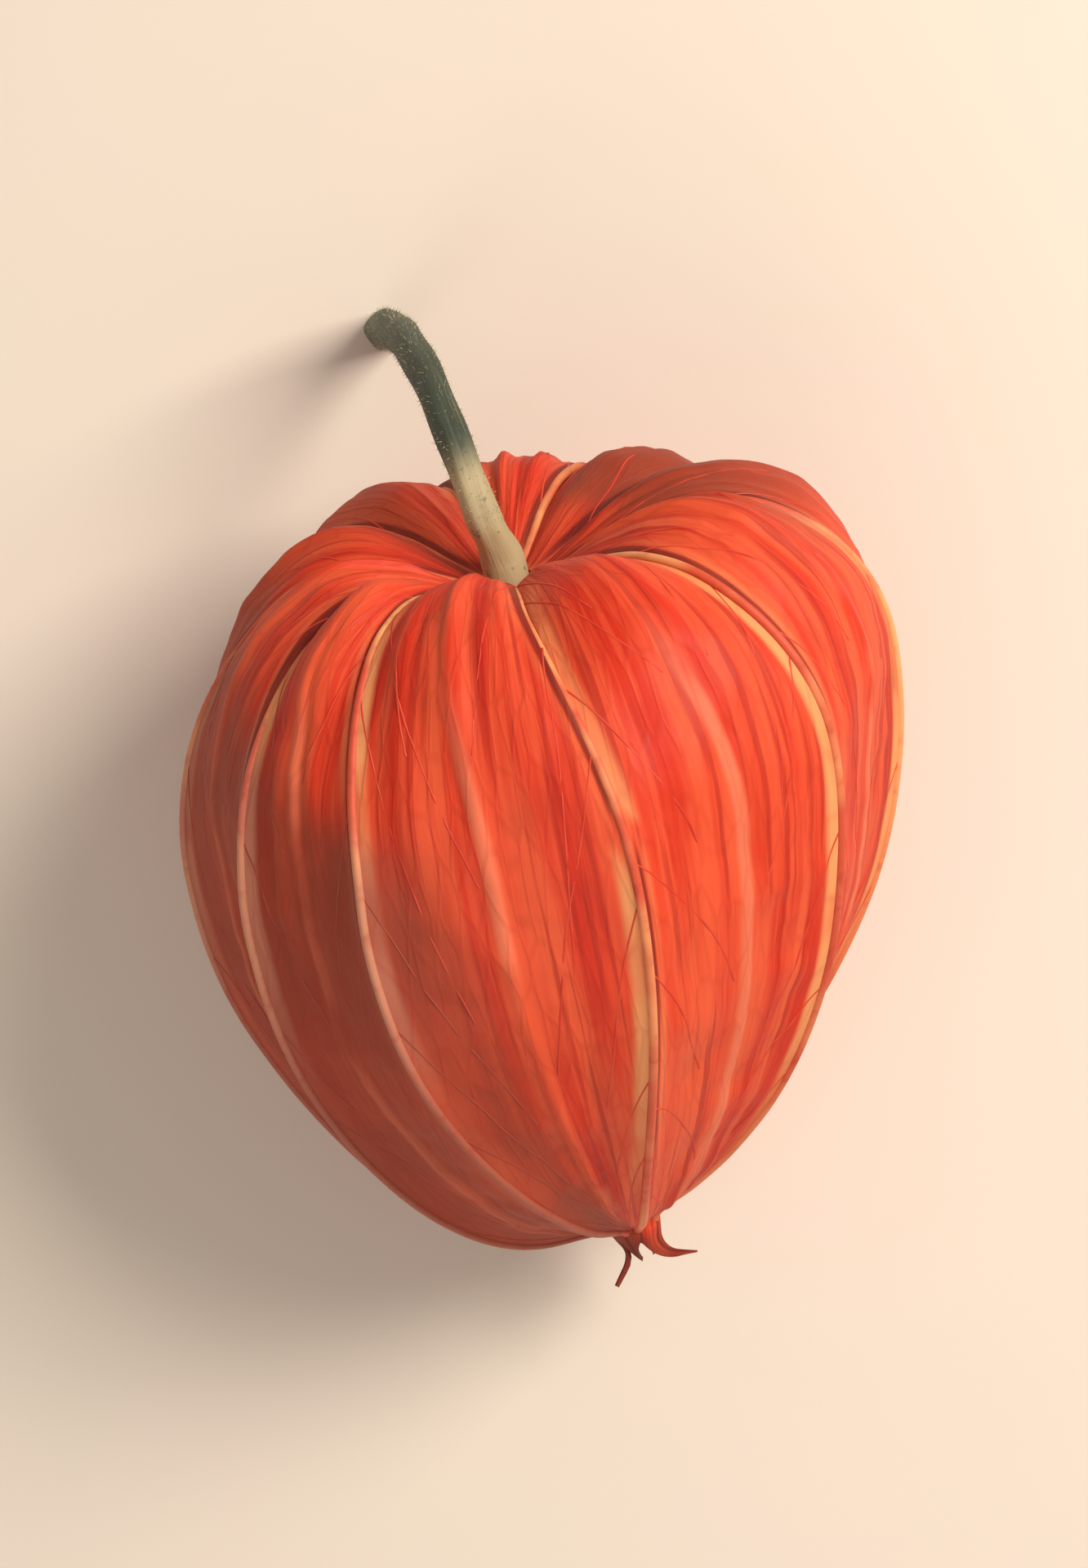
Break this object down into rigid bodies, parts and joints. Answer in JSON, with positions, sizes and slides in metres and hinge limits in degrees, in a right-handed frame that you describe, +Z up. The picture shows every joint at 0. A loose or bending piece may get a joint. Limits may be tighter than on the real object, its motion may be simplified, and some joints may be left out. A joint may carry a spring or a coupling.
{
  "type": "physalis berry",
  "caption": "Picked physalis fruit: a ribbed papery orange-red lantern husk with a bent stem and a round berry inside, lying on its side.",
  "frame": {"origin": "on the surface the fruit lies on, under the middle of its bounding box", "axes": "+Y runs along the surface from the tip of the husk to the stem, +Z is up, and +X is to the right when the tip points at the viewer"},
  "size_m": [0.0478, 0.0686, 0.0463],
  "materials": {
    "husk": "papery, with a slight sheen",
    "stem": "dull",
    "berry": "smooth and glossy"
  },
  "bodies": {
    "root": {"husk": "husk", "stem": "stem", "berry": "berry"}
  },
  "joints": []
}
